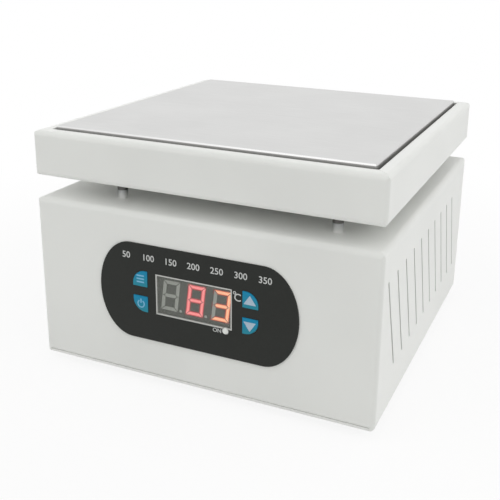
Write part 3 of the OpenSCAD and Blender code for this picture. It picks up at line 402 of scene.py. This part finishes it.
# %% [markdown]
# Each solid has a slot name in its record, so the finishes are handed out from that list in one loop. The solids
# keep their own meshes: only the material in their slot changes. The clear window touches the display behind it, and
# a ray can't tell two faces in one plane apart, so a modifier draws the window's faces in by a hair.

# %% Hand out the finishes
for part in frame["record"]["subparts"]:
    for place in nodes[part["node"]].material_slots:
        place.material = finishes[part["material_slot"]]
AIR_GAP_MM = 0.04
pane = nodes["display_window"].modifiers.new("air_gap", "DISPLACE")
pane.mid_level, pane.strength = 0.0, -AIR_GAP_MM * MM

# %% [markdown]
# Print on the panel is a few hundredths of a millimetre of white ink. It could be a mask in the film's material, but
# then its edges would be as soft as the bake. As thin meshes, letters stay crisp from any distance. The figures
# along the top are a plain row of temperatures, and the marks by the display say what is lit and in which unit.

# %% Print on the panel
INK_MM, CAPITAL_SHARE, BOLDER = 0.04, 0.70, 0.012
ink = moulded("white_ink", shade(198, 200, 198), 0.5, 0.4, 0.003)
pale_ink = moulded("pale_ink", shade(164, 182, 197), 0.45, 0.4, 0.003)
blue_ink = moulded("blue_ink", shade(118, 176, 206), 0.45, 0.4, 0.003)


def flat_piece(name, mesh, finish, body):
    mesh.materials.clear()
    mesh.materials.append(finish)
    piece = bpy.data.objects.new(name, mesh)
    bpy.context.scene.collection.objects.link(piece)
    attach(piece, body)
    return piece


def lettering(name, words, high_mm, middle_mm, front_mm, finish, body="base"):
    """Letters that stand on a front face, with their middle at (x, z) and their ink towards the viewer."""
    curve = bpy.data.curves.new(name, "FONT")
    curve.body, curve.align_x, curve.align_y = words, "CENTER", "CENTER"
    curve.size, curve.extrude, curve.resolution_u = high_mm / CAPITAL_SHARE, INK_MM / 2, 4
    curve.offset = BOLDER * high_mm
    maker = bpy.data.objects.new(name, curve)
    bpy.context.scene.collection.objects.link(maker)
    bpy.context.view_layer.update()
    mesh = bpy.data.meshes.new_from_object(maker.evaluated_get(bpy.context.evaluated_depsgraph_get()))
    bpy.data.objects.remove(maker)
    mesh.transform(Matrix.Scale(MM, 4) @ Matrix.Translation((middle_mm[0], front_mm - INK_MM / 2, middle_mm[1]))
                   @ Matrix.Rotation(math.pi / 2, 4, "X"))
    flat_piece(name, mesh, finish, body)


FILM_Y, KEY_Y = -110.8, -111.05
SCALE_X, SCALE_PITCH, SCALE_Z, SCALE_HIGH = -46.0, 15.0, 83.5, 3.9
for step in range(7):
    figure = 50 + 50 * step
    lettering("scale_%d" % figure, str(figure), SCALE_HIGH, (SCALE_X + SCALE_PITCH * step, SCALE_Z), FILM_Y,
              ink)
lettering("unit_letter", "C", 4.6, (27.2, 70.0), FILM_Y, ink)
lettering("lamp_word", "ON", 2.5, (14.2, 47.0), FILM_Y, ink)
print("ink", INK_MM, "mm thick on the film at y", FILM_Y)

# %% [markdown]
# The keys carry simple signs: two arrow heads, three bars for settings and a ring with a stroke for the output. A
# sign is an outline on the key's face, given a thickness. Rounding the corners of the outline first makes it look
# printed and not cut with a knife. The small ring beside the unit's letter on the film is made in the same way.

# %% Signs on the keys
def rounded(points, radius, steps=5):
    """A closed outline with each corner replaced by a short arc."""
    out = []
    for before, corner, after in zip(points[-1:] + points[:-1], points, points[1:] + points[:1]):
        a, c, b = Vector(before), Vector(corner), Vector(after)
        reach = min(radius, (a - c).length / 2, (b - c).length / 2)
        p, q = c + (a - c).normalized() * reach, c + (b - c).normalized() * reach
        out += [p.lerp(c, t).lerp(c.lerp(q, t), t) for t in (i / steps for i in range(steps + 1))]
    return out


def sign_mesh(name, outlines, front_mm):
    """Thin plates from outlines in x and z, with their faces towards the viewer."""
    grid = bmesh.new()
    for outline in outlines:
        face = grid.faces.new([grid.verts.new((p[0] * MM, front_mm * MM, p[1] * MM)) for p in outline])
        for part in bmesh.ops.extrude_face_region(grid, geom=[face])["geom"]:
            if isinstance(part, bmesh.types.BMVert):
                part.co.y -= INK_MM * MM
    bmesh.ops.recalc_face_normals(grid, faces=grid.faces)
    mesh = bpy.data.meshes.new(name)
    grid.to_mesh(mesh)
    grid.free()
    return mesh


def box_outline(x, z, wide, high):
    return [(x - wide / 2, z - high / 2), (x + wide / 2, z - high / 2), (x + wide / 2, z + high / 2),
            (x - wide / 2, z + high / 2)]


def arc_band(x, z, r_out, r_in, start, stop, steps=28):
    turns = [math.radians(start + (stop - start) * i / steps) for i in range(steps + 1)]
    return ([(x + r_out * math.cos(t), z + r_out * math.sin(t)) for t in turns]
            + [(x + r_in * math.cos(t), z + r_in * math.sin(t)) for t in reversed(turns)])


up_head = rounded([(31.0, 67.2), (38.8, 67.2), (34.9, 72.9)], 0.4)
down_head = rounded([(31.0, 56.5), (34.9, 50.7), (38.8, 56.5)], 0.4)
bars = [rounded(box_outline(-36.6, 69.8 + 2.0 * k, 5.2, 0.9), 0.25) for k in (-1, 0, 1)]
ring = [arc_band(-36.6, 53.7, 2.6, 1.8, 120, 420), rounded(box_outline(-36.6, 55.6, 0.8, 2.8), 0.25)]
for name, outlines, finish, body in (
        ("up_sign", [up_head], pale_ink, "up_key"), ("down_sign", [down_head], pale_ink, "down_key"),
        ("set_sign", bars, blue_ink, "set_key"), ("out_sign", ring, blue_ink, "out_key")):
    flat_piece(name, sign_mesh(name, outlines, KEY_Y), finish, body)
degree = [arc_band(25.3, 72.8, 1.0, 0.55, 0, 180, 12), arc_band(25.3, 72.8, 1.0, 0.55, 180, 360, 12)]
flat_piece("unit_ring", sign_mesh("unit_ring", degree, FILM_Y), ink, "base")
print("four signs on the keys at y", KEY_Y)

# %% [markdown]
# The rocker at the back has a stroke for on and a ring for off. Each sits on its own half, which leans, so a sign is
# made flat and then turned with the face that carries it.

# %% Signs on the rocker
PIVOT, VALLEY, HALF = Vector((20.0, 110.0, 38.0)), 1.2, math.radians(10)


def rocker_sign(name, outlines, tilt, drop):
    """A sign drawn round the origin, laid on the half that leans by tilt, at a height of drop mm from the valley."""
    mesh = sign_mesh(name, outlines, 0.0)
    valley = PIVOT + Vector((0, VALLEY * math.cos(HALF), -VALLEY * math.sin(HALF)))
    place = (Matrix.Translation(valley * MM) @ Matrix.Rotation(tilt, 4, "X")
             @ Matrix.Translation((0, 0, drop * MM)) @ Matrix.Rotation(math.pi, 4, "Z"))
    mesh.transform(place)
    flat_piece(name, mesh, ink, "rocker")


rocker_sign("on_sign", [rounded(box_outline(0, 0, 0.9, 3.6), 0.2)], 0.0, -4.0)
rocker_sign("off_sign", [arc_band(0, 0, 1.9, 1.2, 0, 180), arc_band(0, 0, 1.9, 1.2, 180, 360)], -2 * HALF, 4.0)
print("rocker signs ready")

# %% [markdown]
# Screws read as screws through the cross in their heads and their rounded rims. A turned outline gives the head and
# the ridges of the thread, and a cross-shaped tool is then cut out of it. The cut is made once in millimetres, where
# the numbers are of a comfortable size, and the result is copied to each place.

# %% Screws, nuts and rivets
def turned_mesh(name, outline, steps=40):
    """Turns pairs of radius and height round the z axis; the first and last pair lie on the axis."""
    grid = bmesh.new()
    turns = [2 * math.pi * i / steps for i in range(steps)]
    rings = [[grid.verts.new((r * math.cos(t), r * math.sin(t), z)) for t in (turns if r > 0 else [0.0])]
             for r, z in outline]
    for low, high in zip(rings, rings[1:]):
        for i in range(steps):
            a, b = low[i % len(low)], low[(i + 1) % len(low)]
            c, d = high[(i + 1) % len(high)], high[i % len(high)]
            grid.faces.new([v for k, v in enumerate((a, b, c, d)) if v not in (a, b, c, d)[:k]])
    bmesh.ops.recalc_face_normals(grid, faces=grid.faces)
    mesh = bpy.data.meshes.new(name)
    grid.to_mesh(mesh)
    grid.free()
    return mesh


def thread(radius, start, length, pitch):
    count = max(1, int(length / pitch))
    return [point for i in range(count) for point in ((radius * 0.86, start + (i + 0.1) * pitch),
                                                      (radius, start + (i + 0.55) * pitch))]


def cross_cut(mesh, reach, width, deep, top):
    """Cuts a cross recess with sloping ends into the top of a head."""
    grid = bmesh.new()
    for turn in (0, math.pi / 2):
        made = bmesh.ops.create_cube(grid, size=1.0)["verts"]
        for v in made:
            low = v.co.z < 0
            v.co = Vector((v.co.x * 2 * reach * (0.35 if low else 1.0), v.co.y * width * (0.8 if low else 1.0),
                           top - deep if low else top + 0.5))
        bmesh.ops.rotate(grid, verts=made, cent=(0, 0, 0), matrix=Matrix.Rotation(turn, 3, "Z"))
    tool_mesh = bpy.data.meshes.new("cross_tool")
    grid.to_mesh(tool_mesh)
    grid.free()
    head, tool = bpy.data.objects.new("head", mesh), bpy.data.objects.new("cross_tool", tool_mesh)
    for thing in (head, tool):
        bpy.context.scene.collection.objects.link(thing)
    cut = head.modifiers.new("cut", "BOOLEAN")
    cut.operation, cut.solver, cut.object, cut.use_self = "DIFFERENCE", "EXACT", tool, True
    bpy.context.view_layer.update()
    done = bpy.data.meshes.new_from_object(head.evaluated_get(bpy.context.evaluated_depsgraph_get()))
    for thing in (head, tool):
        bpy.data.objects.remove(thing)
    return done


def hex_nut(flats, bore, low, high):
    """A nut with chamfered corners, as a closed mesh."""
    grid = bmesh.new()
    corner_r = flats / math.cos(math.pi / 6) / 2

    def six(r, z):
        return [grid.verts.new((r * math.cos(math.pi / 3 * i), r * math.sin(math.pi / 3 * i), z)) for i in range(6)]

    levels = [(low, 0.93), (low + 0.25, 1.0), (high - 0.25, 1.0), (high, 0.93)]
    hexes = [six(corner_r * k, z) for z, k in levels]
    bores = [six(bore, z) for z in (low, high)]
    walls = list(zip(hexes, hexes[1:])) + [(hexes[-1], bores[1]), (bores[1], bores[0]), (bores[0], hexes[0])]
    for a, b in walls:
        for i in range(6):
            grid.faces.new((a[i], a[(i + 1) % 6], b[(i + 1) % 6], b[i]))
    bmesh.ops.recalc_face_normals(grid, faces=grid.faces)
    mesh = bpy.data.meshes.new("nut")
    grid.to_mesh(mesh)
    grid.free()
    return mesh


def placed(name, meshes, places, node_name, slot):
    """Copies of some meshes, drawn in mm, at several places as one piece that stands for a solid."""
    grid = bmesh.new()
    for place in places:
        for mesh in meshes:
            copy = mesh.copy()
            copy.transform(Matrix.Scale(MM, 4) @ place)
            grid.from_mesh(copy)
            bpy.data.meshes.remove(copy)
    mesh = bpy.data.meshes.new(name)
    grid.to_mesh(mesh)
    grid.free()
    mesh.shade_smooth()
    mesh.set_sharp_from_angle(angle=math.radians(32))
    piece = flat_piece(name, mesh, finishes[slot], "base")
    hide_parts(node_name)


def pan_screw(head_r, head_h, shank_r, length, pitch):
    """Head upward from z = 0, shank downward."""
    dome = [(head_r * math.cos(t), head_h * (0.45 + 0.55 * math.sin(t))) for t in
            (math.radians(a) for a in (0, 15, 30, 45, 60, 75))]
    shank = [(r, -z) for r, z in thread(shank_r, 0.3, length - 0.7, pitch)]
    outline = [(0, head_h), *reversed(dome), (head_r, 0.12), (head_r - 0.12, 0), (shank_r, 0), *shank,
               (shank_r * 0.7, -length), (0, -length)]
    solid = turned_mesh("screw", outline)
    return cross_cut(solid, head_r * 0.62, head_r * 0.24, head_h * 0.62, head_h)


def on_four_sides(out, along):
    """Places that lie out mm from the middle on each side of a square, twice, along mm to either hand."""
    rows = [(s * out, t * along) for s in (-1, 1) for t in (-1, 1)]
    return rows + [(y, x) for x, y in rows]


flip = Matrix.Rotation(math.pi, 4, "X")
to_back = Matrix.Rotation(-math.pi / 2, 4, "X")
BOTTOM_Z, FOOT_HEAD_Z, FLANGE_Y, TRAY_Z = 6.0, 3.6, 112.4, 123.9
FOOT_XY, INLET_X, INLET_Z, EAR_X = 82.0, 62.0, 38.0, 20.0

rim_screw = pan_screw(head_r=2.8, head_h=2.0, shank_r=1.4, length=5.7, pitch=0.5)
placed("rim_screws", [rim_screw],
       [Matrix.Translation((x, y, BOTTOM_Z)) @ flip for x, y in on_four_sides(102.8, 50.0)],
       "bottom_screws", "plain_steel")

foot_screw = pan_screw(head_r=3.5, head_h=2.6, shank_r=1.95, length=8.1, pitch=0.7)
foot_nut = hex_nut(flats=7.0, bore=1.9, low=-7.1, high=-3.9)
placed("foot_screws", [foot_screw, foot_nut], [Matrix.Translation((s * FOOT_XY, t * FOOT_XY, FOOT_HEAD_Z)) @ flip
                                               for s in (-1, 1) for t in (-1, 1)], "foot_fasteners", "plain_steel")

ear_screw = pan_screw(head_r=2.8, head_h=1.4, shank_r=1.4, length=7.0, pitch=0.5)
ear_nut = hex_nut(flats=5.5, bore=1.38, low=-6.0, high=-3.6)
placed("ear_screws", [ear_screw, ear_nut], [Matrix.Translation((INLET_X + s * EAR_X, FLANGE_Y, INLET_Z)) @ to_back
                                            for s in (-1, 1)], "inlet_fasteners", "plain_steel")

rivet = turned_mesh("rivet", [(0, -0.9), (0.9, -0.86), (1.9, -0.66), (2.7, -0.36), (3.2, 0), (1.6, 0), (1.6, 2.4),
                              (2.4, 2.4), (2.2, 2.9), (1.5, 3.2), (0.8, 3.3), (0.5, 3.0), (0, 3.0)])
placed("pan_rivets", [rivet], [Matrix.Translation((x, y, TRAY_Z)) for x, y in on_four_sides(98.1, 60.0)],
       "tray_rivets", "plain_steel")
print("screws, nuts and rivets placed")

# %% [markdown]
# The room is a pale floor and a white sky. For the camera, and for mirrors and glass, the sky is plain white at
# strength 1; for everything else it is dimmer, so that it fills shadows without washing the coat out. The floor does
# the same with a Light Path mask, and keeps a soft shadow under the body.

# %% Floor and sky
SKY = 0.30
FLOOR_GLOW, SHADOW_MM = 0.88, (200.0, 500.0)


def seen(start):
    """1 for rays from the camera, from glossy surfaces and through glass."""
    camera_ray, glossy, through = (start.node("LightPath", out=name) for name in
                                   ("Is Camera Ray", "Is Glossy Ray", "Is Transmission Ray"))
    return start.maths("MAXIMUM", camera_ray, start.maths("MAXIMUM", glossy, through))


world = bpy.data.worlds.new("studio")
world.use_nodes = True
bpy.context.scene.world = world
sky = Sock(world.node_tree)
background = world.node_tree.nodes["Background"]
background.inputs["Color"].default_value = (1, 1, 1, 1)
world.node_tree.links.new((SKY + (1 - SKY) * seen(sky)).socket, background.inputs["Strength"])

ground = Finish("floor", Roughness=0.8, Specular_IOR_Level=0.1)
mottle = ground.noise(0.01, 3.0)
ground.feed(Base_Color=mottle.blend(shade(236, 236, 235), shade(242, 242, 241)))
glow = ground.start.node("Emission", {}, {"Color": (1, 1, 1, 1), "Strength": 1.0})
away = (ground.x * ground.x + ground.y * ground.y) ** 0.5
white = FLOOR_GLOW + (1 - FLOOR_GLOW) * away.ramp(*SHADOW_MM)
lit_floor = ground.start.node("MixShader", {}, {0: white * seen(ground.start), 2: glow})
tree = ground.material.node_tree
tree.links.new(ground.shader.outputs[0], lit_floor.socket.node.inputs[1])
tree.links.new(lit_floor.socket, tree.nodes["Material Output"].inputs["Surface"])

grid = bmesh.new()
bmesh.ops.create_grid(grid, x_segments=1, y_segments=1, size=3.0)
floor_mesh = bpy.data.meshes.new("floor")
grid.to_mesh(floor_mesh)
grid.free()
floor_mesh.materials.append(ground.material)
floor = bpy.data.objects.new("floor", floor_mesh)
bpy.context.scene.collection.objects.link(floor)
print("sky", SKY, "for the object, 1 for the camera")

# %% [markdown]
# The walls on the right are the brightest and the front a little darker, so the main soft lamp stands to the right of
# the camera, and a lower one to its left. Both shine in under the tray, on the deck between the posts; one overhead
# and one behind even out the top and the back. All are large, which keeps shadow edges soft, and mirrors don't see
# them, because the white sky is already in the plate. With the sky they add up to about the light at which a colour
# looks as it is written.

# %% Soft lamps
AIM = Vector((0, 0, 0.1))


def soft_lamp(name, place, wide, high, watts):
    lamp = bpy.data.lights.new(name, "AREA")
    lamp.shape, lamp.size, lamp.size_y, lamp.energy = "RECTANGLE", wide, high, watts
    thing = bpy.data.objects.new(name, lamp)
    thing.location = place
    thing.rotation_euler = (AIM - Vector(place)).to_track_quat("-Z", "Y").to_euler()
    thing.visible_glossy = False
    bpy.context.scene.collection.objects.link(thing)


soft_lamp("right_lamp", (1.45, -0.68, 1.30), wide=3.0, high=1.6, watts=15.0)
soft_lamp("left_lamp", (-1.57, -0.91, 0.98), wide=3.0, high=1.5, watts=14.6)
soft_lamp("top_lamp", (0.0, -0.17, 2.0), wide=1.8, high=1.8, watts=14.0)
soft_lamp("back_lamp", (0.90, 1.70, 0.90), wide=2.0, high=1.4, watts=8.5)
bpy.context.scene.view_settings.view_transform = "Standard"
print("four soft lamps")

# %% [markdown]
# Ink, signs and screw heads all stay within what the solids already take up.
